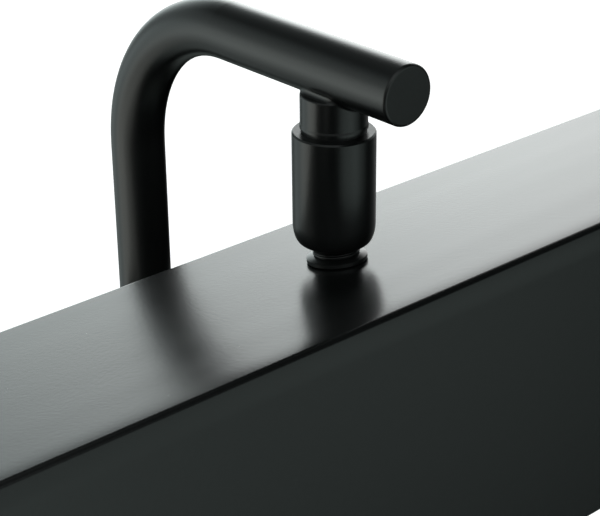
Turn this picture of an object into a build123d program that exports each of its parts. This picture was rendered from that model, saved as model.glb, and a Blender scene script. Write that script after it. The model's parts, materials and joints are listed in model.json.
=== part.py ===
"""Wall picture light: a wall canopy, a bent tube arm, a swivel ball joint and a long box head.

Millimetres. +Z is up, +X is to the right along the wall, and the wall is the plane Y = 0, so the light stands
out towards -Y. The origin is the middle of the wall plate's back face. At rest the head is tipped a little, so
that its light faces away from the wall.
"""

from build123d import *
from math import radians, sin, sqrt
import os

os.makedirs("parts", exist_ok=True)

# ---- wall plate and canopy
canopy_w = 100.0
canopy_h = 70.0
canopy_d = 30.0
canopy_wall = 2.0
canopy_corner = 4.0
canopy_edge = 1.5
plate_t = 1.5
plate_gap = 2.0
plate_corner = 3.0
slot_spacing = 60.0
slot_length = 14.0
slot_w = 4.6
slot_drop = 14.0
entry_r = 7.0
ear_h = 16.0
ear_depth = 20.0
ear_play = 0.3
grommet_bore_r = 4.0
grommet_lip_r = 9.0
grommet_lip_t = 1.5
grommet_cone = 1.0
cover_screw_r = 2.0
cover_head_r = 3.8
cover_head_h = 2.2
cover_screw_l = 9.0
screw_clear = 0.1
earth_screw_r = 2.0
earth_head_r = 3.6
earth_head_h = 2.4
earth_head_round = 0.6
earth_slot_w = 0.9
earth_x = 32.0
earth_z = 14.0
earth_washer_r = 4.4
earth_washer_t = 0.8
block_w = 30.0
block_h = 15.0
block_d = 13.0
block_drop = 12.0
block_way = 8.0
block_wire_r = 1.9
block_screw_r = 1.6
block_edge = 0.8
block_slot_w = 0.6
block_slot_d = 0.8

# ---- arm
arm_r = 6.0
arm_wall = 1.0
arm_bend_r = 34.0
arm_reach = 65.2
joint_rise = 52.48
arm_rise = 32.92
arm_nose = 20.2
end_cap_t = 1.2
end_cap_round = 0.6
end_plug_l = 3.0
ferrule_r = 9.0
ferrule_h = 6.0
ferrule_seat = 1.0
ferrule_round = 1.2
nipple_bore_r = 3.6
nipple_up = 14.0
nipple_tail = 1.0
nipple_edge = 0.5
lock_washer_t = 1.0
lock_washer_r = 7.6
washer_teeth = 10
washer_notch = 0.16
nut_corner = 0.55
arm_nut_af = 14.0
arm_nut_h = 3.0
lead_r = 1.9
lead_turn_r = 8.0
lead_jog_r = 5.0
lead_jog_low = 6.0
lead_jog_high = 18.0

# ---- stub, swivel neck and socket sleeve: heights are above the ball's middle
stub_r = 6.6
stub_foot = 21.42
stub_top = 28.22
stub_bead = 0.12
stub_bead_h = 0.8
stub_edge = 0.4
weld_cove = 0.9
neck_r = 6.4
neck_end = 13.47
neck_bore_r = 4.2
sleeve_r = 8.25
sleeve_top = 20.47
sleeve_foot = -2.71
sleeve_rim = 0.3
sleeve_corner_w = 1.53
sleeve_corner_h = 4.07
right_angle = 90.0
lip_chamfer = 0.63
fit = 0.05
ring_groove = 17.52
ring_h = 1.0
ring_r = 6.95
ring_inner_r = 5.7
ring_gap = 2.4
cup_top = 9.5
cup_skirt = 2.0
spring_count = 4
spring_t = 0.5
spring_rise = 0.35
spring_inner_r = 3.5
through_r = 3.2

# ---- ball stem: heights are above the head's top face
ball_r = 6.35
ball_h = 7.0
ball_mouth_r = 3.8
stem_bore_r = 2.6
neck_waist_r = 4.5
ring_bulge = 0.24
flange_r = 6.1
flange_edge_h = 0.85
flange_edge = 0.15
dome_top = 1.55
waist_rise = 0.08
ring_2_h = 0.55
ring_space = 0.08
gasket_r = 5.3
gasket_t = 0.15
shank_r = 4.0
shank_clear = 0.15
stem_nut_af = 13.0
stem_nut_h = 4.0
stem_washer_r = 6.5
shank_tail = 1.5
pin_r = 0.9
pin_inner = 4.4
pin_outer = 7.3
level_range = 5.0

# ---- head
head_tip = 7.5
head_l = 460.0
head_front = 30.1
head_back = 25.5
head_h = 63.2
head_edge = 1.0
head_wall = 1.6
head_roof = 2.0
end_plate_t = 3.0
port_r = 3.0
port_bore_r = 1.3
port_sink = 0.6
port_slot = 1.2
lip_w = 2.4
lip_t = 1.4
ledge_w = 9.0
ledge_t = 1.8
ledge_rise = 18.0
diffuser_t = 2.0
diffuser_play = 0.2
stiffener_l = 70.0
stiffener_side_gap = 0.5
stiffener_t = 2.0
tray_t = 2.0
tray_flange = 7.0
tray_play = 0.3
tray_end_play = 2.0
tray_screw_r = 1.25
tray_screw_head_r = 2.3
tray_screw_head_h = 1.5
tray_screw_inset = 6.9
tray_screw_end = 30.0
board_w = 22.0
board_t = 1.6
board_end = 10.0
board_screws = 5
chip_count = 36
chip_l = 5.6
chip_w = 3.0
chip_t = 0.9
chip_dome = 0.25
driver_l = 130.0
driver_w = 30.0
driver_h = 22.0
driver_play = 2.0
driver_edge = 2.0
driver_foot_l = 8.0
driver_foot_t = 2.0
small_screw_r = 1.5
small_head_r = 2.7
small_head_h = 1.7
small_head_round = 0.4
cap_screw_r = 1.5
cap_head_r = 2.9
cap_screw_l = 12.0
cross_l = 2.6
cross_w = 0.7
cross_d = 0.8
out_lead_r = 0.8
out_lead_space = 5.0
out_lead_run = 12.0
lead_gap = 0.3
lead_height = 0.6
head_lead_turn_r = 12.0

# ---- places worked out from the sizes above
plate_h = canopy_h - 2 * canopy_wall - 2 * plate_gap
ball_to_wall = canopy_d / 2 + arm_reach
ball_z = canopy_h / 2 + joint_rise
head_top = ball_z - ball_h
arm_z = ball_z + arm_rise
arm_foot = canopy_h / 2 + ferrule_seat
arm_end_y = -(ball_to_wall + arm_nose)
arm_inner_r = arm_r - arm_wall
bore_r = neck_r + fit
socket_r = ball_r + fit
head_floor = head_top - head_h
head_depth = head_front + head_back
head_mid_y = -ball_to_wall + (head_back - head_front) / 2
ledge_top = head_floor + ledge_rise
diffuser_z = head_floor + lip_t
tray_top = ledge_top + tray_t
port_inset = head_wall + port_r - port_sink
stiffener_w = head_depth - 2 * (port_inset + port_r + stiffener_side_gap)
tray_screw_spacing = head_l - 2 * tray_screw_end
driver_x = tray_screw_spacing / 2 - tray_screw_head_r - driver_play - driver_foot_l - driver_l

joint_axis = Axis((0, -ball_to_wall, 0), (0, 0, 1))
# half sections of the turned pieces: first coordinate is the radius, second the height above the ball's middle
section = Plane((0, -ball_to_wall, ball_z), x_dir=(1, 0, 0), z_dir=(0, -1, 0))
# and for the pieces that stand on the head: second coordinate is the height above its top face
head_section = Plane((0, -ball_to_wall, head_top), x_dir=(1, 0, 0), z_dir=(0, -1, 0))
# the head and all it holds are drawn level, then tipped about this line through the ball's middle
tip_axis = Axis((0, -ball_to_wall, ball_z), (1, 0, 0))


def save(piece, name):
    """Label a finished piece and write its STEP file."""
    piece.part.label = name
    export_step(piece.part, f"parts/{name}.step")


def save_tipped(piece, name):
    """Tip a finished piece of the head about the ball's middle, label it and write its STEP file."""
    tipped = piece.part.rotate(tip_axis, -head_tip)
    tipped.label = name
    export_step(tipped, f"parts/{name}.step")


def sphere_half_width(radius, height):
    """Radius of a ball's circle at a height above or below its middle."""
    return sqrt(radius**2 - height**2)


# ============================================================ wall plate
ear_x = canopy_w / 2 - canopy_wall - ear_play
cover_screw_y = -canopy_d / 2
with BuildPart() as wall_plate:
    with BuildSketch(Plane.XZ):
        RectangleRounded(2 * ear_x, plate_h, plate_corner)
        with Locations((0, -slot_drop)):
            with GridLocations(slot_spacing, 0, 2, 1):
                SlotOverall(slot_length, slot_w, mode=Mode.SUBTRACT)
        Circle(entry_r, mode=Mode.SUBTRACT)
        with Locations((earth_x, earth_z)):
            Circle(earth_screw_r, mode=Mode.SUBTRACT)
    extrude(amount=plate_t)
    with BuildSketch(Plane.XZ):
        with GridLocations(2 * ear_x - plate_t, 0, 2, 1):
            Rectangle(plate_t, ear_h)
    extrude(amount=ear_depth)
    ear_tips = wall_plate.edges().filter_by(Axis.X).group_by(Axis.Y)[0]
    fillet(ear_tips, radius=plate_corner)
    with BuildSketch(Plane.YZ.offset(-ear_x)):
        with Locations((cover_screw_y, 0)):
            Circle(cover_screw_r)
    extrude(amount=2 * ear_x, mode=Mode.SUBTRACT)
save(wall_plate, "wall_plate")

# ============================================================ cable grommet: a rubber ring snapped in the entry
with BuildPart() as cable_grommet:
    with BuildSketch(Plane((0, 0, 0), x_dir=(1, 0, 0), z_dir=(0, 0, -1))):
        with BuildLine():
            Polyline(
                (grommet_bore_r, 0),
                (entry_r, 0),
                (entry_r, plate_t),
                (grommet_lip_r, plate_t),
                (grommet_lip_r, plate_t + grommet_lip_t),
                (grommet_bore_r, plate_t + grommet_lip_t + grommet_cone),
                close=True,
            )
        make_face()
    revolve(axis=Axis.Y)
    lip_edges = cable_grommet.edges().filter_by(GeomType.CIRCLE).group_by(SortBy.RADIUS)[-1]
    fillet(lip_edges, radius=0.4 * grommet_lip_t)
save(cable_grommet, "cable_grommet")

# ============================================================ canopy: an open-backed box over the wall plate
with BuildPart() as canopy:
    with BuildSketch(Plane.XZ):
        RectangleRounded(canopy_w, canopy_h, canopy_corner)
    extrude(amount=canopy_d)
    fillet(canopy.faces().sort_by(Axis.Y)[0].edges(), radius=canopy_edge)
    with BuildSketch(Plane.XZ):
        RectangleRounded(canopy_w - 2 * canopy_wall, canopy_h - 2 * canopy_wall, canopy_corner - canopy_wall)
    extrude(amount=canopy_d - canopy_wall, mode=Mode.SUBTRACT)
    with BuildSketch(Plane.XY.offset(canopy_h / 2)):
        with Locations((0, -canopy_d / 2)):
            Circle(arm_inner_r + screw_clear)
    extrude(amount=-2 * canopy_wall, mode=Mode.SUBTRACT)
    with BuildSketch(Plane.YZ.offset(-canopy_w / 2)):
        with Locations((cover_screw_y, 0)):
            Circle(cover_screw_r + screw_clear)
    extrude(amount=canopy_w, mode=Mode.SUBTRACT)
save(canopy, "canopy")

# ============================================================ the two screws in the canopy's sides
with BuildPart() as cover_screws:
    for side in (1, -1):
        with BuildSketch(Plane((side * canopy_w / 2, cover_screw_y, 0), x_dir=(0, 1, 0), z_dir=(side, 0, 0))):
            Circle(cover_head_r)
        head = extrude(amount=cover_head_h)
        fillet(head.faces().sort_by(Axis.X)[-1 if side > 0 else 0].edges(), radius=0.35 * cover_head_h)
        with BuildSketch(Plane((side * canopy_w / 2, cover_screw_y, 0), x_dir=(0, 1, 0), z_dir=(side, 0, 0))):
            Circle(cover_screw_r - fit)
        extrude(amount=-cover_screw_l)
save(cover_screws, "cover_screws")

# ============================================================ earth screw with its washer
with BuildPart() as earth_screw:
    with BuildSketch(Plane.XZ):
        with Locations((earth_x, earth_z)):
            Circle(earth_screw_r - fit)
    extrude(amount=plate_t + earth_washer_t)
    with BuildSketch(Plane.XZ.offset(plate_t)):
        with Locations((earth_x, earth_z)):
            Circle(earth_washer_r)
    extrude(amount=earth_washer_t)
    with BuildSketch(Plane.XZ.offset(plate_t + earth_washer_t)):
        with Locations((earth_x, earth_z)):
            Circle(earth_head_r)
    extrude(amount=earth_head_h)
    fillet(earth_screw.faces().sort_by(Axis.Y)[0].edges(), radius=earth_head_round)
    with BuildSketch(Plane.XZ.offset(plate_t + earth_washer_t + earth_head_h)):
        with Locations((earth_x, earth_z)):
            Rectangle(3 * earth_head_r, earth_slot_w)
    extrude(amount=-0.5 * earth_head_h, mode=Mode.SUBTRACT)
save(earth_screw, "earth_screw")

# ============================================================ terminal block: three ways, over the entry
block_z = -block_drop - block_h / 2
block_top = block_z + block_h / 2
way_y = -(plate_t + block_d / 2)
with BuildPart() as terminal_block:
    with BuildSketch(Plane.XZ.offset(plate_t)):
        with Locations((0, block_z)):
            Rectangle(block_w, block_h)
    extrude(amount=block_d)
    chamfer(terminal_block.faces().sort_by(Axis.Y)[0].edges(), length=block_edge)
    with BuildSketch(Plane.XY.offset(block_top)):
        with Locations((0, way_y)):
            with GridLocations(block_way, 0, 3, 1):
                Circle(block_wire_r)
    extrude(amount=-block_h, mode=Mode.SUBTRACT)
    with BuildSketch(Plane.XZ.offset(plate_t + block_d)):
        with Locations((0, block_z)):
            with GridLocations(block_way, block_h / 2, 3, 2):
                Circle(block_screw_r + fit)
    extrude(amount=-block_d / 2, mode=Mode.SUBTRACT)
save(terminal_block, "terminal_block")

with BuildPart() as terminal_screws:
    with BuildSketch(Plane.XZ.offset(plate_t + block_d - block_edge)):
        with Locations((0, block_z)):
            with GridLocations(block_way, block_h / 2, 3, 2):
                Circle(block_screw_r)
    extrude(amount=-(block_d / 2 - block_wire_r - block_edge))
    with BuildSketch(Plane.XZ.offset(plate_t + block_d - block_edge)):
        with Locations((0, block_z)):
            with GridLocations(block_way, block_h / 2, 3, 2):
                Rectangle(3 * block_screw_r, block_slot_w)
    extrude(amount=-block_slot_d, mode=Mode.SUBTRACT)
save(terminal_screws, "terminal_screws")

# ============================================================ arm: ferrule, nipple, washer, nut
arm_foot_axis = Axis((0, -canopy_d / 2, 0), (0, 0, 1))
# half section at the arm's foot: radius, height above the canopy's top face
foot_section = Plane((0, -canopy_d / 2, canopy_h / 2), x_dir=(1, 0, 0), z_dir=(0, -1, 0))
with BuildPart() as arm_ferrule:
    with BuildSketch(foot_section):
        with BuildLine():
            Polyline(
                (arm_inner_r + fit, 0),
                (ferrule_r, 0),
                (ferrule_r, ferrule_h),
                (arm_r + fit, ferrule_h),
                (arm_r + fit, ferrule_seat),
                (arm_inner_r + fit, ferrule_seat),
                close=True,
            )
        make_face()
    revolve(axis=arm_foot_axis)
    top_edge = arm_ferrule.edges().filter_by(GeomType.CIRCLE).group_by(Axis.Z)[-1].sort_by(SortBy.RADIUS)[-1]
    fillet(top_edge, radius=ferrule_round)
save(arm_ferrule, "arm_ferrule")

nut_top = -canopy_wall - lock_washer_t
with BuildPart() as arm_nipple:
    with BuildSketch(foot_section):
        with BuildLine():
            Polyline(
                (nipple_bore_r, nut_top - arm_nut_h - nipple_tail),
                (arm_inner_r - nipple_edge, nut_top - arm_nut_h - nipple_tail),
                (arm_inner_r, nut_top - arm_nut_h - nipple_tail + nipple_edge),
                (arm_inner_r, nipple_up),
                (nipple_bore_r, nipple_up),
                close=True,
            )
        make_face()
    revolve(axis=arm_foot_axis)
save(arm_nipple, "arm_nipple")


def tooth_washer(bore, outer, thickness, plane):
    """A flat washer with a ring of locking teeth round its rim."""
    with BuildPart() as washer:
        with BuildSketch(plane):
            Circle(outer)
            with PolarLocations(outer, washer_teeth):
                Circle(washer_notch * outer, mode=Mode.SUBTRACT)
            Circle(bore, mode=Mode.SUBTRACT)
        extrude(amount=thickness)
    return washer


def hex_nut(bore, across_flats, height, plane):
    """A plain hexagon nut with its corners turned down at both ends."""
    with BuildPart() as nut:
        with BuildSketch(plane):
            RegularPolygon(across_flats / 2, 6, major_radius=False)
        extrude(amount=height)
        with BuildSketch(plane):
            Circle(nut_corner * across_flats)
        extrude(amount=height, mode=Mode.INTERSECT)
        with BuildSketch(plane):
            Circle(bore)
        extrude(amount=height, mode=Mode.SUBTRACT)
    return nut


def below(height, y):
    """A plane facing down at a height, centred on the vertical line through y."""
    return Plane((0, y, height), x_dir=(1, 0, 0), z_dir=(0, 0, -1))


washer_plane = below(canopy_h / 2 - canopy_wall, -canopy_d / 2)
arm_lock_washer = tooth_washer(arm_inner_r + fit, lock_washer_r, lock_washer_t, washer_plane)
save(arm_lock_washer, "arm_lock_washer")
arm_nut = hex_nut(arm_inner_r + fit, arm_nut_af, arm_nut_h, below(canopy_h / 2 + nut_top, -canopy_d / 2))
save(arm_nut, "arm_nut")

# ============================================================ arm tube: up, one large bend, forward
tube_end_y = arm_end_y + end_cap_t
with BuildPart() as arm_tube:
    with BuildLine(Plane.YZ) as arm_path:
        FilletPolyline(
            (-canopy_d / 2, arm_foot),
            (-canopy_d / 2, arm_z),
            (tube_end_y, arm_z),
            radius=arm_bend_r,
        )
    with BuildSketch(Plane((0, -canopy_d / 2, arm_foot))):
        Circle(arm_r)
        Circle(arm_inner_r, mode=Mode.SUBTRACT)
    sweep(path=arm_path.line)
    with BuildSketch(below(arm_z, -ball_to_wall)):
        Circle(neck_bore_r)
    extrude(amount=2 * arm_r, mode=Mode.SUBTRACT)
save(arm_tube, "arm_tube")

with BuildPart() as arm_end_cap:
    with BuildSketch(Plane((0, tube_end_y, arm_z), x_dir=(1, 0, 0), z_dir=(0, -1, 0))):
        Circle(arm_r)
    extrude(amount=end_cap_t)
    fillet(arm_end_cap.faces().sort_by(Axis.Y)[0].edges(), radius=end_cap_round)
    with BuildSketch(Plane((0, tube_end_y, arm_z), x_dir=(1, 0, 0), z_dir=(0, -1, 0))):
        Circle(arm_inner_r)
    extrude(amount=-end_plug_l)
save(arm_end_cap, "arm_end_cap")

# ============================================================ stub: welded under the tube, with the swivel neck
tube_section = Plane.XZ.offset(ball_to_wall - arm_bend_r)
with BuildPart() as arm_stub:
    with BuildSketch(Plane((0, -ball_to_wall, ball_z + stub_foot))):
        Circle(stub_r)
    extrude(amount=stub_top - stub_foot)
    fillet(arm_stub.faces().sort_by(Axis.Z)[-1].edges(), radius=stub_edge)
    with BuildSketch(tube_section):
        with Locations((0, arm_z)):
            Circle(arm_r)
    extrude(amount=arm_nose + arm_bend_r)
    # the weld's cove runs along the seam between the stub and the tube
    seam = [
        edge
        for edge in arm_stub.edges()
        if edge.geom_type != GeomType.CIRCLE and edge.bounding_box().size.Y < 2 * stub_r + fit
    ]
    fillet(seam, radius=weld_cove)
    with BuildSketch(tube_section):
        with Locations((0, arm_z)):
            Circle(arm_r)
    extrude(amount=arm_nose + arm_bend_r, mode=Mode.SUBTRACT)
    with BuildSketch(section):
        with BuildLine():
            Polyline(
                (0, neck_end),
                (neck_r, neck_end),
                (neck_r, ring_groove),
                (ring_inner_r, ring_groove),
                (ring_inner_r, ring_groove + ring_h),
                (neck_r, ring_groove + ring_h),
                (neck_r, stub_foot),
                (stub_r + stub_bead, stub_foot),
                (stub_r + stub_bead, stub_foot + 0.5 * stub_bead_h),
                (stub_r, stub_foot + stub_bead_h),
                (0, stub_foot + stub_bead_h),
                close=True,
            )
        make_face()
    revolve(axis=joint_axis)
    with BuildSketch(Plane((0, -ball_to_wall, ball_z + neck_end))):
        Circle(neck_bore_r)
    extrude(amount=arm_rise, mode=Mode.SUBTRACT)
save(arm_stub, "arm_stub")

with BuildPart() as retaining_ring:
    with BuildSketch(section):
        with BuildLine():
            Polyline(
                (ring_inner_r, ring_groove + fit),
                (ring_r, ring_groove + fit),
                (ring_r, ring_groove + ring_h - fit),
                (ring_inner_r, ring_groove + ring_h - fit),
                close=True,
            )
        make_face()
    revolve(axis=joint_axis)
    with BuildSketch(Plane((0, -ball_to_wall, ball_z + ring_groove))):
        with Locations((0, ring_r)):
            Rectangle(ring_gap, 2 * ring_r)
    extrude(amount=ring_h, mode=Mode.SUBTRACT)
save(retaining_ring, "retaining_ring")

# ============================================================ supply lead: terminal block to the ball's middle
with BuildPart() as supply_lead:
    with BuildLine(Plane.YZ) as lead_path:
        FilletPolyline(
            (way_y, block_top),
            (way_y, block_top + lead_jog_low),
            (-canopy_d / 2, block_top + lead_jog_high),
            (-canopy_d / 2, arm_z),
            (-ball_to_wall, arm_z),
            (-ball_to_wall, ball_z),
            radius=[lead_jog_r, lead_jog_r, arm_bend_r, lead_turn_r],
        )
    with BuildSketch(Plane((0, way_y, block_top))):
        Circle(lead_r)
    sweep(path=lead_path.line)
    with Locations((0, -ball_to_wall, ball_z)):
        Sphere(lead_r)
save(supply_lead, "supply_lead")

# ============================================================ socket sleeve: turns on the neck, holds the ball
lip_r = sphere_half_width(socket_r, sleeve_foot + lip_chamfer)
sleeve_foot_r = sleeve_r - sleeve_corner_w
with BuildPart() as socket_sleeve:
    with BuildSketch(section):
        with BuildLine():
            Polyline(
                (socket_r, 0),
                (bore_r, 0),
                (bore_r, ring_groove),
                (ring_r + 2 * fit, ring_groove),
                (ring_r + 2 * fit, ring_groove + ring_h),
                (bore_r, ring_groove + ring_h),
                (bore_r, sleeve_top),
                (sleeve_r - sleeve_rim, sleeve_top),
                (sleeve_r, sleeve_top - sleeve_rim),
                (sleeve_r, sleeve_foot + sleeve_corner_h),
            )
            EllipticalCenterArc(
                (sleeve_foot_r, sleeve_foot + sleeve_corner_h),
                sleeve_corner_w,
                sleeve_corner_h,
                -right_angle,
                arc_size=right_angle,
            )
            Polyline(
                (sleeve_foot_r, sleeve_foot),
                (lip_r + lip_chamfer, sleeve_foot),
                (lip_r, sleeve_foot + lip_chamfer),
            )
            lip_middle = 0.5 * (sleeve_foot + lip_chamfer)
            ThreePointArc(
                (lip_r, sleeve_foot + lip_chamfer),
                (sphere_half_width(socket_r, lip_middle), lip_middle),
                (socket_r, 0),
            )
        make_face()
    revolve(axis=joint_axis)
    with BuildSketch(Plane.YZ):
        with Locations((-ball_to_wall, ball_z)):
            Circle(pin_r + fit)
    extrude(amount=pin_outer + fit, both=True, mode=Mode.SUBTRACT)
save(socket_sleeve, "socket_sleeve")

with BuildPart() as ball_cup:
    seat_low = sphere_half_width(socket_r, cup_skirt)
    seat_high = sqrt(socket_r**2 - through_r**2)
    with BuildSketch(section):
        with BuildLine():
            middle = 0.5 * (cup_skirt + seat_high)
            Polyline(
                (through_r, seat_high),
                (through_r, cup_top),
                (neck_r - fit, cup_top),
                (neck_r - fit, cup_skirt),
                (seat_low, cup_skirt),
            )
            ThreePointArc(
                (seat_low, cup_skirt),
                (sphere_half_width(socket_r, middle), middle),
                (through_r, seat_high),
            )
        make_face()
    revolve(axis=joint_axis)
save(ball_cup, "ball_cup")

with BuildPart() as disc_springs:
    for number in range(spring_count):
        foot = cup_top + number * (spring_t + spring_rise)
        rise_in = spring_rise if number % 2 == 0 else 0.0
        rise_out = spring_rise - rise_in
        with BuildSketch(section):
            with BuildLine():
                Polyline(
                    (spring_inner_r, foot + rise_in),
                    (neck_r - 4 * fit, foot + rise_out),
                    (neck_r - 4 * fit, foot + rise_out + spring_t),
                    (spring_inner_r, foot + rise_in + spring_t),
                    close=True,
                )
            make_face()
        revolve(axis=joint_axis)
save(disc_springs, "disc_springs")

spring_top = cup_top + spring_count * (spring_t + spring_rise)
with BuildPart() as friction_washer:
    with BuildSketch(Plane((0, -ball_to_wall, ball_z + spring_top))):
        Circle(neck_r - 2 * fit)
        Circle(spring_inner_r, mode=Mode.SUBTRACT)
    extrude(amount=neck_end - fit - spring_top)
save(friction_washer, "friction_washer")

with BuildPart() as tilt_pins:
    for side in (1, -1):
        with BuildSketch(Plane.YZ.offset(side * pin_inner)):
            with Locations((-ball_to_wall, ball_z)):
                Circle(pin_r)
        extrude(amount=side * (pin_outer - pin_inner))
save(tilt_pins, "tilt_pins")

# ============================================================ ball stem: ball, two rings, domed flange, shank
shank_end = -(head_roof + stiffener_t + lock_washer_t + stem_nut_h + shank_tail)
ball_foot = ball_h - sqrt(ball_r**2 - neck_waist_r**2)
ball_top = ball_h + sqrt(ball_r**2 - ball_mouth_r**2)
ring_2_foot = dome_top + waist_rise
ring_2_top = ring_2_foot + ring_2_h
ring_1_foot = ring_2_top + ring_space
with BuildPart() as ball_stem:
    with BuildSketch(head_section):
        with BuildLine():
            Polyline(
                (stem_bore_r, ball_h - lead_r / 2),
                (stem_bore_r, shank_end),
                (shank_r, shank_end),
                (shank_r, gasket_t),
                (flange_r - flange_edge, gasket_t),
                (flange_r, gasket_t + flange_edge),
                (flange_r, gasket_t + flange_edge_h),
            )
            ThreePointArc(
                (flange_r, gasket_t + flange_edge_h),
                (0.45 * flange_r + 0.55 * neck_waist_r, 0.3 * (gasket_t + flange_edge_h) + 0.7 * dome_top),
                (neck_waist_r, dome_top),
            )
            Line((neck_waist_r, dome_top), (neck_waist_r, ring_2_foot))
            ThreePointArc(
                (neck_waist_r, ring_2_foot),
                (neck_waist_r + ring_bulge, 0.5 * (ring_2_foot + ring_2_top)),
                (neck_waist_r, ring_2_top),
            )
            Line((neck_waist_r, ring_2_top), (neck_waist_r, ring_1_foot))
            ThreePointArc(
                (neck_waist_r, ring_1_foot),
                (neck_waist_r + ring_bulge, 0.5 * (ring_1_foot + ball_foot)),
                (neck_waist_r, ball_foot),
            )
            ThreePointArc((neck_waist_r, ball_foot), (ball_r, ball_h), (ball_mouth_r, ball_top))
            Line((ball_mouth_r, ball_top), (stem_bore_r, ball_h - lead_r / 2))
        make_face()
    revolve(axis=joint_axis)
    # slots for the tilt pins: tight across the head, tall enough for the ball to rock sideways
    slot_half = pin_r + ball_r * sin(radians(level_range)) + 2 * fit
    for side in (1, -1):
        with BuildSketch(Plane.YZ.offset(side * (pin_inner - 4 * fit))):
            with Locations((-ball_to_wall, ball_z)):
                Rectangle(2 * (pin_r + fit), 2 * slot_half)
        extrude(amount=side * ball_r, mode=Mode.SUBTRACT)
save_tipped(ball_stem, "ball_stem")

with BuildPart() as stem_gasket:
    with BuildSketch(Plane((0, -ball_to_wall, head_top))):
        Circle(gasket_r)
        Circle(shank_r + fit, mode=Mode.SUBTRACT)
    extrude(amount=gasket_t)
save_tipped(stem_gasket, "stem_gasket")

# ============================================================ head housing: an extruded channel, open below
# across the head: first coordinate is Y, second is Z
half_l = head_l / 2 - end_plate_t
inner_depth = head_depth - 2 * head_wall
port_centres = [
    (head_mid_y + side * (head_depth / 2 - port_inset), height)
    for side in (1, -1)
    for height in (head_top - head_roof - port_r + port_sink, ledge_top - ledge_t - port_r + port_sink)
]
with BuildPart() as head_housing:
    with BuildSketch(Plane.YZ.offset(-half_l)) as channel:
        with Locations((head_mid_y, head_top - head_h / 2)):
            Rectangle(head_depth, head_h)
        fillet(channel.vertices().group_by(Axis.Y)[-1], radius=head_edge)
        with Locations((head_mid_y, head_floor)):
            Rectangle(inner_depth, head_h - head_roof, align=(Align.CENTER, Align.MIN), mode=Mode.SUBTRACT)
        for side in (1, -1):
            wall_y = head_mid_y + side * inner_depth / 2
            with Locations((wall_y - side * lip_w / 2, head_floor + lip_t / 2)):
                Rectangle(lip_w, lip_t)
            with Locations((wall_y - side * lip_w / 2, diffuser_z + diffuser_t + diffuser_play + lip_t / 2)):
                Rectangle(lip_w, lip_t)
            with Locations((wall_y - side * ledge_w / 2, ledge_top - ledge_t / 2)):
                Rectangle(ledge_w, ledge_t)
        with Locations(*port_centres):
            Circle(port_r)
            Circle(port_bore_r, mode=Mode.SUBTRACT)
        for side in (1, -1):
            for height in (port_centres[0][1], port_centres[1][1]):
                with Locations((head_mid_y + side * (head_depth / 2 - port_inset - port_r), height)):
                    Rectangle(2 * port_r, port_slot, mode=Mode.SUBTRACT)
    extrude(amount=2 * half_l)
    with BuildSketch(Plane((0, -ball_to_wall, head_top))):
        Circle(shank_r + shank_clear)
    extrude(amount=-head_roof, mode=Mode.SUBTRACT)
    tray_screw_y = inner_depth / 2 - tray_screw_inset
    with BuildSketch(Plane((0, head_mid_y, ledge_top))):
        with GridLocations(tray_screw_spacing, 2 * tray_screw_y, 2, 2):
            Circle(tray_screw_r)
    extrude(amount=-ledge_t, mode=Mode.SUBTRACT)
save_tipped(head_housing, "head_housing")

# ============================================================ inside the joint's seat: stiffener, washer, nut
with BuildPart() as stiffener_plate:
    with BuildSketch(Plane((0, -ball_to_wall, head_top - head_roof))):
        with Locations((0, head_mid_y + ball_to_wall)):
            RectangleRounded(stiffener_l, stiffener_w, plate_corner)
        Circle(shank_r + shank_clear, mode=Mode.SUBTRACT)
    extrude(amount=-stiffener_t)
save_tipped(stiffener_plate, "stiffener_plate")

washer_top = head_top - head_roof - stiffener_t
stem_lock_washer = tooth_washer(shank_r + fit, stem_washer_r, lock_washer_t, below(washer_top, -ball_to_wall))
save_tipped(stem_lock_washer, "stem_lock_washer")
stem_nut_plane = below(washer_top - lock_washer_t, -ball_to_wall)
stem_nut = hex_nut(shank_r + fit, stem_nut_af, stem_nut_h, stem_nut_plane)
save_tipped(stem_nut, "stem_nut")

# ============================================================ end plates with their screws
for side, name in ((-1, "end_plate_left"), (1, "end_plate_right")):
    with BuildPart() as end_plate:
        with BuildSketch(Plane.YZ.offset(side * half_l)) as outline:
            with Locations((head_mid_y, head_top - head_h / 2)):
                Rectangle(head_depth, head_h)
            fillet(outline.vertices(), radius=head_edge)
        extrude(amount=side * end_plate_t)
        outer_face = end_plate.faces().sort_by(Axis.X)[-1 if side > 0 else 0]
        chamfer(outer_face.edges(), length=0.3 * head_edge)
        for centre in port_centres:
            with Locations(Plane((side * head_l / 2, *centre), x_dir=(0, 1, 0), z_dir=(side, 0, 0))):
                CounterSinkHole(cap_screw_r + screw_clear, cap_head_r, depth=end_plate_t, counter_sink_angle=right_angle)
    save_tipped(end_plate, name)

with BuildPart() as end_screws:
    for side in (1, -1):
        for centre in port_centres:
            with BuildSketch(Plane((side * head_l / 2, *centre), x_dir=(0, 1, 0), z_dir=(side, 0, 0))):
                Circle(port_bore_r - fit)
            extrude(amount=-cap_screw_l)
            with BuildSketch(Plane((side * head_l / 2, *centre), x_dir=(0, 1, 0), z_dir=(side, 0, 0))):
                Circle(cap_head_r - 2 * fit)
            extrude(amount=-(cap_head_r - port_bore_r), taper=45)
            with BuildSketch(Plane((side * head_l / 2, *centre), x_dir=(0, 1, 0), z_dir=(side, 0, 0))):
                Rectangle(cross_l, cross_w)
                Rectangle(cross_w, cross_l)
            extrude(amount=-cross_d, mode=Mode.SUBTRACT)
save_tipped(end_screws, "end_screws")

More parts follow.
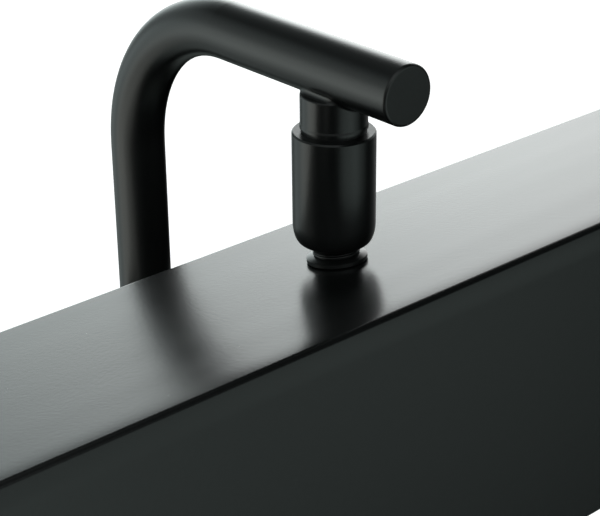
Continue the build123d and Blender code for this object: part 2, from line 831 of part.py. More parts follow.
# ============================================================ LED tray on the housing's ledges
tray_l = 2 * (half_l - tray_end_play)
tray_w = inner_depth - 2 * tray_play
with BuildPart() as led_tray:
    with BuildSketch(Plane((0, head_mid_y, ledge_top))):
        Rectangle(tray_l, tray_w)
    extrude(amount=tray_t)
    with BuildSketch(Plane((0, head_mid_y, tray_top))):
        with GridLocations(0, tray_w - tray_t, 1, 2):
            Rectangle(tray_l, tray_t)
    extrude(amount=tray_flange - tray_t)
    with BuildSketch(Plane((0, head_mid_y, ledge_top))):
        with GridLocations(tray_screw_spacing, 2 * tray_screw_y, 2, 2):
            Circle(tray_screw_r)
        with Locations((driver_x + driver_l + out_lead_run, 0)):
            RectangleRounded(out_lead_r * 6, out_lead_space + out_lead_r * 6, out_lead_r * 2)
    extrude(amount=tray_t, mode=Mode.SUBTRACT)
save_tipped(led_tray, "led_tray")

with BuildPart() as tray_screws:
    with BuildSketch(Plane((0, head_mid_y, tray_top))):
        with GridLocations(tray_screw_spacing, 2 * tray_screw_y, 2, 2):
            Circle(tray_screw_head_r)
    extrude(amount=tray_screw_head_h)
    fillet(tray_screws.faces().filter_by(Axis.Z).group_by(Axis.Z)[-1].edges(), radius=0.3 * tray_screw_head_h)
    with BuildSketch(Plane((0, head_mid_y, tray_top))):
        with GridLocations(tray_screw_spacing, 2 * tray_screw_y, 2, 2):
            Circle(tray_screw_r - fit)
    extrude(amount=-(tray_t + ledge_t))
save_tipped(tray_screws, "tray_screws")

# ============================================================ LED board under the tray, chips facing down
board_l = tray_l - 2 * board_end
chip_pitch = board_l / chip_count
screw_pitch = chip_pitch * round(chip_count / board_screws)
with BuildPart() as led_board:
    with BuildSketch(Plane((0, head_mid_y, ledge_top))):
        Rectangle(board_l, board_w)
        with GridLocations(screw_pitch, 0, board_screws, 1):
            Circle(small_screw_r, mode=Mode.SUBTRACT)
    extrude(amount=-board_t)
save_tipped(led_board, "led_board")

with BuildPart() as board_screws_set:
    with BuildSketch(Plane((0, head_mid_y, ledge_top))):
        with GridLocations(screw_pitch, 0, board_screws, 1):
            Circle(small_screw_r - fit)
    extrude(amount=-board_t)
    with BuildSketch(Plane((0, head_mid_y, ledge_top - board_t))):
        with GridLocations(screw_pitch, 0, board_screws, 1):
            Circle(small_head_r)
    extrude(amount=-small_head_h)
    fillet(board_screws_set.faces().filter_by(Axis.Z).group_by(Axis.Z)[0].edges(), radius=small_head_round)
save_tipped(board_screws_set, "board_screws")

with BuildPart() as led_chips:
    with BuildSketch(below(ledge_top - board_t, head_mid_y)):
        with GridLocations(chip_pitch, 0, chip_count, 1):
            Rectangle(chip_l, chip_w)
    extrude(amount=chip_t)
    chamfer(led_chips.faces().filter_by(Axis.Z).group_by(Axis.Z)[0].edges(), length=chip_dome)
save_tipped(led_chips, "led_chips")

# ============================================================ opal diffuser in the grooves at the mouth
with BuildPart() as diffuser:
    with BuildSketch(Plane((0, head_mid_y, diffuser_z))):
        Rectangle(2 * half_l, inner_depth - 2 * tray_play)
    extrude(amount=diffuser_t)
save_tipped(diffuser, "diffuser")

# ============================================================ LED driver on the tray
driver_mid_x = driver_x + driver_l / 2
foot_x = driver_l + driver_foot_l
with BuildPart() as led_driver:
    with BuildSketch(Plane((driver_mid_x, head_mid_y, tray_top))):
        Rectangle(driver_l, driver_w)
    extrude(amount=driver_h)
    fillet(led_driver.edges().filter_by(Axis.Z), radius=driver_edge)
    fillet(led_driver.faces().sort_by(Axis.Z)[-1].edges(), radius=driver_edge / 2)
    with BuildSketch(Plane((driver_mid_x, head_mid_y, tray_top))):
        with GridLocations(foot_x, 0, 2, 1):
            Rectangle(driver_foot_l, driver_w / 2)
    extrude(amount=driver_foot_t)
    with BuildSketch(Plane((driver_mid_x, head_mid_y, tray_top))):
        with Locations((foot_x / 2, -driver_w / 8), (-foot_x / 2, driver_w / 8)):
            Circle(small_screw_r)
    extrude(amount=driver_foot_t, mode=Mode.SUBTRACT)
save_tipped(led_driver, "led_driver")

with BuildPart() as driver_screws:
    with BuildSketch(Plane((driver_mid_x, head_mid_y, tray_top))):
        with Locations((foot_x / 2, -driver_w / 8), (-foot_x / 2, driver_w / 8)):
            Circle(small_screw_r - fit)
    extrude(amount=driver_foot_t)
    with BuildSketch(Plane((driver_mid_x, head_mid_y, tray_top + driver_foot_t))):
        with Locations((foot_x / 2, -driver_w / 8), (-foot_x / 2, driver_w / 8)):
            Circle(small_head_r)
    extrude(amount=small_head_h)
    fillet(driver_screws.faces().filter_by(Axis.Z).group_by(Axis.Z)[-1].edges(), radius=small_head_round)
save_tipped(driver_screws, "driver_screws")

# ============================================================ leads in the head
wire_z = tray_top + lead_height * driver_h
with BuildPart() as head_lead:
    with BuildLine(Plane((0, -ball_to_wall, 0), x_dir=(1, 0, 0), z_dir=(0, -1, 0))) as head_lead_path:
        FilletPolyline(
            (0, ball_z - lead_r / 2),
            (0, wire_z),
            (driver_x, wire_z),
            radius=head_lead_turn_r,
        )
    with BuildSketch(below(ball_z - lead_r / 2, -ball_to_wall)):
        Circle(lead_r)
    sweep(path=head_lead_path.line)
    with Locations((0, -ball_to_wall, ball_z)):
        Sphere(lead_r + lead_gap, mode=Mode.SUBTRACT)
save_tipped(head_lead, "head_lead")

with BuildPart() as output_leads:
    for side in (1, -1):
        wire_y = head_mid_y + side * out_lead_space / 2
        drop_x = driver_x + driver_l + out_lead_run
        with BuildLine(Plane((0, wire_y, 0), x_dir=(1, 0, 0), z_dir=(0, -1, 0))) as wire_path:
            FilletPolyline(
                (driver_x + driver_l, wire_z),
                (drop_x, wire_z),
                (drop_x, ledge_top),
                radius=0.45 * out_lead_run,
            )
        with BuildSketch(Plane((driver_x + driver_l, wire_y, wire_z), x_dir=(0, 1, 0), z_dir=(1, 0, 0))):
            Circle(out_lead_r)
        sweep(path=wire_path.line)
save_tipped(output_leads, "output_leads")
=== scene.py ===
"""Looks of the wall picture light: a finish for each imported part, cover screws with sockets and threads, a plain pale
floor, a soft studio and the camera. Metres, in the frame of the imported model.
"""

import json
import math

import bmesh
import bpy
import numpy as np
from mathutils import Matrix, Vector


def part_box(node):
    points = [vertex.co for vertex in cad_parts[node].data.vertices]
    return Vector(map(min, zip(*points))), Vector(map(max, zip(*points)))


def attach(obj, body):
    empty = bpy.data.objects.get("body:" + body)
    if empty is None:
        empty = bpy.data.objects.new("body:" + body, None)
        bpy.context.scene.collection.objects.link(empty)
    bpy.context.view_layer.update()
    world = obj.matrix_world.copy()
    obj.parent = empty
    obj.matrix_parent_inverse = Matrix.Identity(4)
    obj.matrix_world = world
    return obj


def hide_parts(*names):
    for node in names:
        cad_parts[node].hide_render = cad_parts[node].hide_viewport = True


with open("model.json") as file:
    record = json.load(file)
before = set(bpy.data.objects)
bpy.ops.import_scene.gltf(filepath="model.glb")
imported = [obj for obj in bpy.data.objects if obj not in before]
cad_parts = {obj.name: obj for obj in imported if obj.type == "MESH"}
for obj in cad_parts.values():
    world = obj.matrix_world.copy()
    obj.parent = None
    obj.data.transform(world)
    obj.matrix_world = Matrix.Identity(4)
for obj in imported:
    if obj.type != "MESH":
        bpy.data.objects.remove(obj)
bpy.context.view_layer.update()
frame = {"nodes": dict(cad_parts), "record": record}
nodes = frame["nodes"]

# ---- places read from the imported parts
board_low, board_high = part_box("led_board")
leads_low, leads_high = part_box("output_leads")
board_y = (board_low.y + board_high.y) / 2
leads_y = (leads_low.y + leads_high.y) / 2
screw_low, screw_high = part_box("cover_screws")
screw_y = (screw_low.y + screw_high.y) / 2
screw_z = (screw_low.z + screw_high.z) / 2
cover_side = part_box("canopy")[1].x

MM = 0.001

# ---- the black coat: its colours, the darker of which also serves as painted shade in the pebbles' low spots, and the depth of its two grains
coat_dark_and_pebble_shade = (0.0026, 0.0031, 0.0031)
coat_pale = (0.0058, 0.0066, 0.0066)
coat_dust = (0.02, 0.02, 0.019)
pebble_depth = 0.003 * MM
swell_depth = 0.0095 * MM

# ---- how the coat falls away at the head's top front edge, on each face: the fall's width, depth and power
top_fall = (6.2 * MM, 0.217 * MM, 3)
front_fall = (6.0 * MM, 0.9 * MM, 2)
joints = {joint["name"]: joint for joint in frame["record"]["behaviour"]["joints"]}
head_back = np.asarray(joints["head_level"]["axis"])
head_up = np.cross((1.0, 0.0, 0.0), head_back)
head_mesh = nodes["head_housing"].data
head_points = np.empty(3 * len(head_mesh.vertices))
head_mesh.vertices.foreach_get("co", head_points)
head_points = head_points.reshape(-1, 3)
# the fall on the top is measured towards the front, and the fall on the front is measured upwards
head_edges = [
    (tuple(axis), float((head_points @ axis).max()), *fall)
    for axis, fall in ((-head_back, top_fall), (head_up, front_fall))
]


# ============================================================ shader nodes
class Value:
    """The output of a shader node. Sums, differences, products, quotients and powers of it add Math nodes."""

    def __init__(self, tree, socket):
        self.tree = tree
        self.socket = socket

    def math(self, operation, *terms):
        return self.tree.node("ShaderNodeMath", {"operation": operation}, dict(enumerate(terms)))

    def __add__(self, other):
        return self.math("ADD", self, other)

    def __sub__(self, other):
        return self.math("SUBTRACT", self, other)

    def __rsub__(self, other):
        return self.math("SUBTRACT", other, self)

    def __mul__(self, other):
        return self.math("MULTIPLY", self, other)

    def __truediv__(self, other):
        return self.math("DIVIDE", self, other)

    def __pow__(self, other):
        return self.math("POWER", self, other)

    def __abs__(self):
        return self.math("ABSOLUTE", self)

    __radd__ = __add__
    __rmul__ = __mul__

    def larger(self, other):
        return self.math("MAXIMUM", self, other)

    def step(self, start, end):
        """A soft step: 0 up to the start and 1 from the end on. The start may be the larger."""
        if start > end:
            return 1 - self.step(end, start)
        limits = {"Value": self, "From Min": start, "From Max": end}
        return self.tree.node("ShaderNodeMapRange", {"interpolation_type": "SMOOTHSTEP"}, limits)


class Tree:
    """A node tree that is built one node at a time."""

    def __init__(self, owner):
        owner.use_nodes = True
        self.tree = owner.node_tree
        self.tree.nodes.clear()

    def node(self, kind, settings, sockets, output=0):
        """Adds a node: its settings first, then the values or links of its sockets. Gives the asked output."""
        made = self.tree.nodes.new(kind)
        for key, value in settings.items():
            setattr(made, key, value)
        for key, value in sockets.items():
            if isinstance(value, Value):
                self.tree.links.new(value.socket, made.inputs[key])
            else:
                made.inputs[key].default_value = value
        return Value(self, made.outputs[output] if made.outputs else None)

    def y_of(self, vector):
        """The y coordinate of a vector."""
        return self.node("ShaderNodeSeparateXYZ", {}, {0: vector}, "Y")

    def dot(self, vector, axis):
        """How far a vector reaches along an axis."""
        return self.node("ShaderNodeVectorMath", {"operation": "DOT_PRODUCT"}, {0: vector, 1: axis}, "Value")

    def seen_straight(self):
        """1 for a ray from the camera, straight or through glass, and 0 for every other ray."""
        through = self.node("ShaderNodeLightPath", {}, {}, "Is Transmission Ray")
        return self.node("ShaderNodeLightPath", {}, {}, "Is Camera Ray").larger(through)


class Finish(Tree):
    """A material, patterned in the object's own coordinates."""

    def __init__(self, name):
        self.material = bpy.data.materials.new(name)
        super().__init__(self.material)
        self.place = self.node("ShaderNodeTexCoord", {}, {}, "Object")

    def stretched(self, stretch=(1.0, 1.0, 1.0), shift=(0.0, 0.0, 0.0)):
        """The object's own coordinates, stretched along the axes and shifted."""
        return self.node("ShaderNodeMapping", {}, {"Vector": self.place, "Location": shift, "Scale": stretch})

    def noise(self, cells, detail=2.0, stretch=(1.0, 1.0, 1.0), shift=(0.0, 0.0, 0.0)):
        """Cloudy noise from 0 to 1, with the given number of cells in a metre, stretched along the axes."""
        sockets = {"Vector": self.stretched(stretch, shift), "Scale": cells, "Detail": detail}
        return self.node("ShaderNodeTexNoise", {}, sockets)

    def crystals(self, cells):
        """The distance from the middle of each crystal, with the given number of crystals in a metre."""
        return self.node("ShaderNodeTexVoronoi", {}, {"Vector": self.stretched(), "Scale": cells}, "Distance")

    def bump(self, height, depth, strength=1.0):
        """The surface normal moved by a height map, whose full swing is the depth in metres."""
        return self.node("ShaderNodeBump", {}, {"Height": height, "Distance": depth, "Strength": strength})

    def blend(self, amount, low, high):
        """A colour between two colours. They are inputs 6 and 7 of the Mix node, and the result is output 2."""
        ends = {"Factor": amount}
        for socket, colour in ((6, low), (7, high)):
            ends[socket] = colour if isinstance(colour, Value) else (*colour, 1.0)
        return self.node("ShaderNodeMix", {"data_type": "RGBA"}, ends, 2)

    def surface(self, **sockets):
        """Ends the material in a Principled shader. Socket names are written with _ for a space."""
        inputs = {key.replace("_", " "): value for key, value in sockets.items()}
        shader = self.node("ShaderNodeBsdfPrincipled", {}, inputs)
        self.node("ShaderNodeOutputMaterial", {}, {"Surface": shader})
        return self.material


# ============================================================ finishes
def powder_coat(name, roughness, grain=(1.0, 1.0, 1.0), edges=()):
    """Black powder coat: a skin of fine melted pebbles over a longer swell, with a satin sheen, rougher in soft
    patches. The grain stretches the patches along X, as the drawing marks of an extrusion do under its coat. At each
    of the edges the coat also falls away, as a drawn aluminium profile does: by the depth of the fall times a power
    of how near the place is to the edge, from 0 at the fall's width from it to 1 on it."""
    finish = Finish(name)
    pebble = finish.noise(2200.0, 1.0)
    swell = finish.noise(1200.0, 1.0)
    patch = finish.noise(45.0, 3.0, grain)
    dust = finish.noise(900.0, 4.0, shift=(3.0, 1.0, 2.0)).step(0.70, 0.78)
    # the coat's colour varies at random in soft patches, and is painted darker in the low spots of the pebbles: painted
    # shade between the pebbles
    coat = finish.blend(0.5 * patch + 0.5 * pebble.step(0.3, 0.7), coat_dark_and_pebble_shade, coat_pale)
    height = pebble_depth * pebble + swell_depth * swell
    for axis, edge, width, fall, power in edges:
        near = (1 - (edge - finish.dot(finish.place, axis)) / width).larger(0.0)
        height = height - fall * near**power
    return finish.surface(
        Base_Color=finish.blend(0.25 * dust, coat, coat_dust),
        Roughness=roughness + 0.06 * (patch - 0.5) + 0.05 * dust,
        IOR=1.5,
        Normal=finish.bump(height, 1.0),
    )


def zinc_plate(name):
    """Bright zinc plate on rolled steel: pale crystals, a blue and straw bloom in clouds, rolling lines along X."""
    finish = Finish(name)
    crystal = finish.crystals(700.0)
    bloom = finish.noise(70.0, 4.0).step(0.35, 0.65)
    line = finish.noise(2600.0, 3.0, (0.03, 1.0, 1.0))
    scratch = finish.noise(500.0, 3.0, (0.06, 1.0, 1.0), (5.0, 2.0, 1.0)).step(0.60, 0.72)
    silver = finish.blend(bloom, (0.62, 0.64, 0.68), (0.72, 0.69, 0.63))
    return finish.surface(
        Base_Color=finish.blend(0.5 * crystal + 0.25 * scratch, silver, (0.46, 0.47, 0.49)),
        Metallic=1.0,
        Roughness=0.34 + 0.14 * crystal + 0.12 * line + 0.08 * scratch,
        Normal=finish.bump(0.5 * crystal + line + 0.5 * scratch, 0.008 * MM, 0.6),
    )


def spring_steel(name):
    """Blued spring steel: a brown to blue temper colour in clouds over fine turning lines."""
    finish = Finish(name)
    temper = finish.noise(260.0, 3.0)
    line = finish.noise(1500.0, 2.0, (0.2, 0.2, 1.0))
    return finish.surface(
        Base_Color=finish.blend(temper.step(0.35, 0.65), (0.16, 0.17, 0.22), (0.27, 0.22, 0.17)),
        Metallic=1.0,
        Roughness=0.28 + 0.14 * line,
        Normal=finish.bump(line, 0.004 * MM, 0.5),
    )


def turned_brass(name):
    """Turned brass: tool lines across the stock and a light brown tarnish in patches."""
    finish = Finish(name)
    tarnish = finish.noise(350.0, 4.0).step(0.45, 0.75)
    line = finish.noise(2600.0, 1.0, (0.15, 1.0, 0.15))
    return finish.surface(
        Base_Color=finish.blend(0.6 * tarnish, (0.72, 0.55, 0.26), (0.45, 0.31, 0.13)),
        Metallic=1.0,
        Roughness=0.24 + 0.16 * line + 0.12 * tarnish,
        Normal=finish.bump(line, 0.004 * MM, 0.5),
    )


def mill_aluminium(name):
    """Bare rolled aluminium: long mill lines along X and dull spots."""
    finish = Finish(name)
    line = finish.noise(1100.0, 3.0, (0.02, 1.0, 1.0))
    spot = finish.noise(180.0, 3.0).step(0.55, 0.75)
    return finish.surface(
        Base_Color=finish.blend(spot, (0.76, 0.77, 0.78), (0.64, 0.65, 0.66)),
        Metallic=1.0,
        Roughness=0.30 + 0.18 * line + 0.08 * spot,
        Normal=finish.bump(line, 0.005 * MM, 0.5),
    )


def black_oxide(name):
    """Black oxide on small screws: oily blue black, worn to grey on fine specks."""
    finish = Finish(name)
    wear = finish.noise(1400.0, 3.0).step(0.62, 0.74)
    cloud = finish.noise(300.0, 2.0)
    return finish.surface(
        Base_Color=finish.blend(wear, (0.020, 0.021, 0.024), (0.10, 0.10, 0.10)),
        Metallic=0.6,
        Roughness=0.34 + 0.10 * cloud,
        Normal=finish.bump(cloud, 0.006 * MM, 0.4),
    )


def moulded_rubber(name):
    """Soft black rubber with a bloom of pale dust."""
    finish = Finish(name)
    bloom = finish.noise(500.0, 4.0).step(0.45, 0.8)
    grain = finish.noise(3000.0, 2.0)
    return finish.surface(
        Base_Color=finish.blend(bloom, (0.014, 0.014, 0.014), (0.035, 0.034, 0.032)),
        Roughness=0.62 + 0.16 * bloom,
        Normal=finish.bump(grain, 0.012 * MM, 0.5),
    )


def moulded_plastic(name, pale, shade, roughness, grain_depth):
    """Moulded plastic of one colour, shaded a little in flow clouds, with spark grain."""
    finish = Finish(name)
    flow = finish.noise(90.0, 3.0)
    grain = finish.noise(2400.0, 2.0)
    return finish.surface(
        Base_Color=finish.blend(flow, shade, pale),
        Roughness=roughness + 0.08 * (flow - 0.5),
        Normal=finish.bump(grain, grain_depth, 0.6),
    )


def circuit_board(name):
    """White solder mask: two long copper tracks show through as low ridges, and the bare rim is paler. The tracks run
    on both sides of the board's middle line, from one distance to another, with soft borders."""
    finish = Finish(name)
    off_middle = abs(finish.y_of(finish.place) - board_y)
    track = off_middle.step(3.6 * MM, 3.9 * MM) * off_middle.step(8.2 * MM, 7.9 * MM)
    weave = finish.noise(1800.0, 2.0)
    return finish.surface(
        Base_Color=finish.blend(track, (0.84, 0.85, 0.83), (0.78, 0.79, 0.74)),
        Roughness=0.26 + 0.06 * weave,
        Normal=finish.bump(track + 0.2 * weave, 0.04 * MM, 0.5),
    )


def phosphor(name):
    """Yellow phosphor gel, deeper in colour in random clouds across its pour."""
    finish = Finish(name)
    pour = finish.noise(700.0, 2.0)
    return finish.surface(
        Base_Color=finish.blend(pour, (0.90, 0.62, 0.10), (0.95, 0.78, 0.28)),
        Roughness=0.18 + 0.10 * pour,
        Coat_Weight=0.6,
    )


def opal_acrylic(name):
    """Opal acrylic: a milky sheet with a fine frosted face."""
    finish = Finish(name)
    milk = finish.noise(60.0, 2.0)
    frost = finish.noise(2600.0, 2.0)
    return finish.surface(
        Base_Color=finish.blend(milk, (0.86, 0.86, 0.84), (0.90, 0.90, 0.88)),
        Roughness=0.42 + 0.10 * frost,
        Normal=finish.bump(frost, 0.006 * MM, 0.5),
    )


def two_wires(name):
    """Thin insulated wires: red on one side of the pair and black on the other, with a soft border between them."""
    finish = Finish(name)
    border = 0.1 * MM
    halves = finish.y_of(finish.place).step(leads_y - border, leads_y + border)
    rub = finish.noise(900.0, 3.0)
    return finish.surface(
        Base_Color=finish.blend(halves, (0.42, 0.03, 0.025), (0.02, 0.02, 0.02)),
        Roughness=0.38 + 0.10 * rub,
        Normal=finish.bump(rub, 0.01 * MM, 0.4),
    )


finishes = {
    "black_coat_steel": powder_coat("black_coat_steel", roughness=0.29),
    "black_coat_aluminium": powder_coat("black_coat_aluminium", roughness=0.23),
    "black_steel_screw": black_oxide("black_steel_screw"),
    "zinc_steel": zinc_plate("zinc_steel"),
    "spring_steel": spring_steel("spring_steel"),
    "brass": turned_brass("brass"),
    "plain_aluminium": mill_aluminium("plain_aluminium"),
    "black_rubber": moulded_rubber("black_rubber"),
    "nylon": moulded_plastic(
        "nylon", (0.80, 0.77, 0.68), (0.72, 0.69, 0.60), roughness=0.42, grain_depth=0.01 * MM
    ),
    "block_plastic": moulded_plastic(
        "block_plastic", (0.74, 0.72, 0.66), (0.66, 0.64, 0.58), roughness=0.46, grain_depth=0.02 * MM
    ),
    "driver_white": moulded_plastic(
        "driver_white", (0.82, 0.82, 0.80), (0.75, 0.75, 0.73), roughness=0.50, grain_depth=0.03 * MM
    ),
    "board_white": circuit_board("board_white"),
    "led_phosphor": phosphor("led_phosphor"),
    "opal": opal_acrylic("opal"),
    "lead_sheath": moulded_plastic(
        "lead_sheath", (0.030, 0.030, 0.030), (0.020, 0.020, 0.020), roughness=0.44, grain_depth=0.01 * MM
    ),
    "wire_red": two_wires("wire_red"),
}
for entry in frame["record"]["subparts"]:
    nodes[entry["node"]].data.materials.clear()
    nodes[entry["node"]].data.materials.append(finishes[entry["material_slot"]])
# the head's housing is an extrusion, whose coat falls away at its top front edge
head_mesh.materials[0] = powder_coat(
    "black_coat_extrusion", roughness=0.23, grain=(0.06, 3.0, 3.0), edges=head_edges
)

# ============================================================ cover screws with hexagon sockets and rolled threads
screw_head_r = (screw_high.y - screw_low.y) / 2
screw_head_h = screw_high.x - cover_side
screw_length = 9.0 * MM
shoulder = 0.45 * screw_head_h
shoulder_steps = 9
socket_half = 1.25 * MM
socket_depth = 1.3 * MM
socket_point_depth = 1.35 * socket_depth
socket_mouth_r = 1.22 * socket_half
socket_mouth_depth = 0.12 * MM
thread_crest_r = 1.95 * MM
thread_root_r = 1.6 * MM
thread_end_r = 0.8 * thread_root_r
thread_pitch = 0.7 * MM
thread_steps = 8
thread_margin = 0.4 * MM
merge_distance = 0.001 * MM
sharp_angle = math.radians(38)
sides = 72
around = np.arange(sides) * 2 * np.pi / sides
hexagon = 1 / np.cos((around + np.pi / 6) % (np.pi / 3) - np.pi / 6)


def screw_rings():
    """The screw as rings of points about its own axis. A ring is a radius, one for all angles or one for each, at a
    distance out from the cover's side. The hexagon's radius is the half width across its flats over the cosine of
    the angle from the nearest flat's middle. The head's shoulder is a quarter of an ellipse. The thread's radius goes
    from root to crest and back as a triangle wave of the distance over the pitch less the angle over a full turn."""
    rings = [(0.0, screw_head_h - socket_point_depth)]
    for depth in (socket_depth, socket_mouth_depth):
        rings.append((socket_half * hexagon, screw_head_h - depth))
    rings.append((socket_mouth_r, screw_head_h))
    for angle in np.radians(np.linspace(0, 90, shoulder_steps)):
        radius = screw_head_r - shoulder + shoulder * math.sin(angle)
        rings.append((radius, screw_head_h - shoulder + shoulder * math.cos(angle)))
    rings += [(screw_head_r, 0.0), (thread_crest_r, 0.0)]
    for depth in np.arange(thread_margin, screw_length - thread_margin, thread_pitch / thread_steps):
        wave = 2 * np.abs((depth / thread_pitch - around / (2 * np.pi)) % 1 - 0.5)
        rings.append((thread_root_r + (thread_crest_r - thread_root_r) * wave, -depth))
    rings += [(thread_end_r, -screw_length), (0.0, -screw_length)]
    return np.array([(radius * np.cos(around), radius * np.sin(around), np.full(sides, out)) for radius, out in rings])


def rings_to_mesh(name, shapes):
    """One closed mesh from stacks of rings: each point joins its neighbours along its ring and on the next ring."""
    places, faces, start = [], [], 0
    for points in shapes:
        count = len(points)
        index = start + np.arange(count * sides).reshape(count, sides)
        after = np.roll(index, -1, axis=1)
        faces.append(np.stack([index[:-1], after[:-1], after[1:], index[1:]], axis=-1).reshape(-1, 4))
        places.append(points.reshape(-1, 3))
        start += count * sides
    mesh = bpy.data.meshes.new(name)
    mesh.from_pydata(np.concatenate(places).tolist(), [], np.concatenate(faces).tolist())
    shape = bmesh.new()
    shape.from_mesh(mesh)
    bmesh.ops.remove_doubles(shape, verts=shape.verts, dist=merge_distance)
    bmesh.ops.recalc_face_normals(shape, faces=shape.faces)
    shape.to_mesh(mesh)
    shape.free()
    mesh.shade_smooth()
    mesh.set_sharp_from_angle(angle=sharp_angle)
    made = bpy.data.objects.new(name, mesh)
    bpy.context.scene.collection.objects.link(made)
    return made


across_screw, up_screw, along_screw = screw_rings().transpose(1, 0, 2)
screw_pair = [
    np.stack([side * (cover_side + along_screw), screw_y + side * across_screw, screw_z + up_screw], axis=-1)
    for side in (1, -1)
]
socket_screws = rings_to_mesh("cover_socket_screws", screw_pair)
socket_screws.data.materials.append(finishes["black_coat_steel"])
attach(socket_screws, "wall_and_arm")
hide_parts("cover_screws")

# ============================================================ floor
floor_z = -0.30
floor_half = 6.0
floor_lift = 0.6
corners = [(x * floor_half, y * floor_half, floor_z) for x, y in ((-1, -1), (1, -1), (1, 1), (-1, 1))]
floor_mesh = bpy.data.meshes.new("floor")
floor_mesh.from_pydata(corners, [], [(0, 1, 2, 3)])
floor = bpy.data.objects.new("floor", floor_mesh)
bpy.context.scene.collection.objects.link(floor)
paint = Finish("floor_paint")
cloud = paint.blend(paint.noise(0.7), (0.80, 0.80, 0.80), (0.84, 0.84, 0.84))
lit = paint.node("ShaderNodeBsdfDiffuse", {}, {"Color": cloud, "Roughness": 0.5})
# seen straight or through glass the floor is lifted to white, and its shadows stay
glow = paint.node("ShaderNodeEmission", {}, {"Strength": floor_lift})
dark = paint.node("ShaderNodeEmission", {}, {"Strength": 0.0})
lift = paint.node("ShaderNodeMixShader", {}, {0: paint.seen_straight(), 1: dark, 2: glow})
bright = paint.node("ShaderNodeAddShader", {}, {0: lit, 1: lift})
# from below it is left out
clear = paint.node("ShaderNodeBsdfTransparent", {}, {})
under = paint.node("ShaderNodeNewGeometry", {}, {}, "Backfacing")
sheet = paint.node("ShaderNodeMixShader", {}, {0: under, 1: bright, 2: clear})
paint.node("ShaderNodeOutputMaterial", {}, {"Surface": sheet})
floor_mesh.materials.append(paint.material)
# the coat mirrors the studio's panels and not the floor
floor.visible_glossy = False

# ============================================================ studio
# Soft panels of the studio, by side. A row gives the turn from +Y to +X and the height, then the half widths of the
# bright middle and of the whole panel, all in degrees, and the brightness. Each side has its own tint.
panels = {
    "behind": (
        (0.92, 1.05, 1.04),
        (
            (30, -5, 4, 30, 0.28),
            (32, 5, 10, 25, 0.85),
            (32, 13, 10, 25, 0.20),
            (15, 20, 4, 20, 0.50),
        ),
    ),
    "behind_right": (
        (1.01, 1.02, 1.01),
        (
            (44, 5, 10, 25, 1.14),
            (56, 5, 10, 25, 0.27),
            (56, 5, 18, 36, 0.18),
            (56, 13, 10, 25, 0.71),
            (60, 20, 4, 20, 0.14),
        ),
    ),
    "behind_left": (
        (0.91, 1.06, 1.05),
        (
            (-30, -30, 4, 32, 0.09),
            (0, -30, 4, 32, 0.10),
            (-30, -12, 10, 30, 0.32),
            (0, -12, 10, 30, 0.21),
            (-30, -5, 4, 30, 0.20),
            (0, -5, 4, 30, 0.10),
            (-40, 12, 15, 40, 0.30),
            (-30, 20, 4, 30, 0.13),
            (0, 20, 4, 20, 0.24),
        ),
    ),
    "left": (
        (1.04, 1.09, 1.02),
        (
            (-90, -30, 4, 32, 0.72),
            (-60, -30, 4, 32, 0.68),
            (-90, -5, 4, 30, 0.17),
            (-60, -5, 4, 30, 0.91),
            (-60, 20, 4, 30, 0.29),
        ),
    ),
    "front": (
        (0.94, 1.12, 1.07),
        (
            (180, -30, 4, 32, 0.62),
            (150, -5, 4, 30, 0.55),
        ),
    ),
    "low": (
        (0.93, 1.10, 1.04),
        (
            (0, -60, 4, 40, 0.21),
            (180, -60, 4, 40, 0.10),
        ),
    ),
    "all_round": (
        (0.94, 1.03, 1.02),
        (
            (-150, 20, 4, 30, 0.15),
            (-120, 20, 4, 30, 0.20),
            (75, 20, 4, 20, 0.40),
            (90, 20, 4, 20, 0.40),
            (180, 20, 4, 30, 0.45),
            (-135, 48, 4, 34, 0.35),
            (-90, 48, 4, 34, 0.25),
            (180, 48, 4, 34, 0.50),
            (0, 80, 4, 40, 0.25),
        ),
    ),
}
# what matt surfaces get besides, the same from every side, so that their colours come out about as written
plain_light = 0.45
white = (1.0, 1.0, 1.0, 1.0)

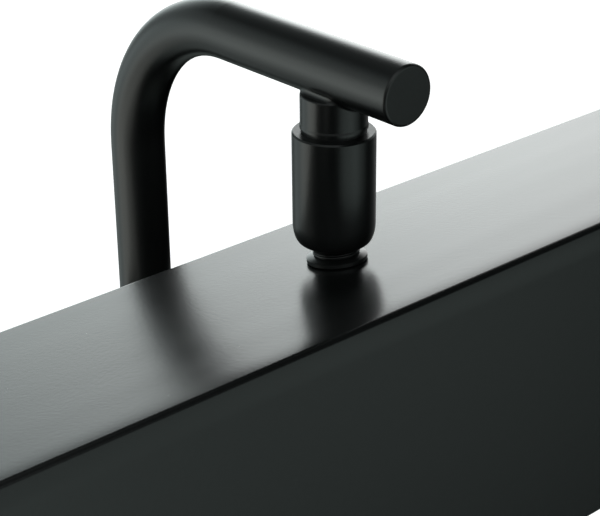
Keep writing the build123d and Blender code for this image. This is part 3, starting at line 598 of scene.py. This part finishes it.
studio = bpy.data.worlds.new("studio")
bpy.context.scene.world = studio
sky = Tree(studio)
direction = sky.node("ShaderNodeTexCoord", {}, {}, "Generated")
matt = sky.node("ShaderNodeLightPath", {}, {}, "Is Diffuse Ray")
lighting = sky.node("ShaderNodeBackground", {}, {"Color": white, "Strength": matt * plain_light})
for tint, rows in panels.values():
    side_light = 0.0
    for turn, rise, inner, outer, brightness in rows:
        turn, rise = math.radians(turn), math.radians(rise)
        aim = (math.sin(turn) * math.cos(rise), math.cos(turn) * math.cos(rise), math.sin(rise))
        spot = sky.dot(direction, aim).step(math.cos(math.radians(outer)), math.cos(math.radians(inner)))
        side_light = spot * brightness + side_light
    glow = sky.node("ShaderNodeBackground", {}, {"Color": (*tint, 1.0), "Strength": side_light})
    lighting = sky.node("ShaderNodeAddShader", {}, {0: lighting, 1: glow})
# seen straight or through glass the background is white, and reflections show the panels
shown = sky.node("ShaderNodeBackground", {}, {"Color": white, "Strength": 1.0})
backdrop = sky.node("ShaderNodeMixShader", {}, {0: sky.seen_straight(), 1: lighting, 2: shown})
sky.node("ShaderNodeOutputWorld", {}, {"Surface": backdrop})

# ============================================================ camera
camera_place = Vector((-0.21186, -0.31377, 0.23209))
camera_turn = math.radians(40.968)
camera_dip = math.radians(25.659)
camera_roll = math.radians(-0.6565)
look = Vector(
    (math.sin(camera_turn) * math.cos(camera_dip), math.cos(camera_turn) * math.cos(camera_dip), -math.sin(camera_dip))
)
level = Vector((math.cos(camera_turn), -math.sin(camera_turn), 0.0))
upright = level.cross(look)
right = level * math.cos(camera_roll) + upright * math.sin(camera_roll)
up = upright * math.cos(camera_roll) - level * math.sin(camera_roll)
camera_data = bpy.data.cameras.new("camera")
camera_data.sensor_width = 36.0
camera_data.lens = 105.08
camera_data.clip_start = 0.01
camera = bpy.data.objects.new("camera", camera_data)
camera.matrix_world = Matrix.Translation(camera_place) @ Matrix((right, up, -look)).transposed().to_4x4()
bpy.context.scene.collection.objects.link(camera)
bpy.context.scene.camera = camera
bpy.context.scene.view_settings.view_transform = "Standard"
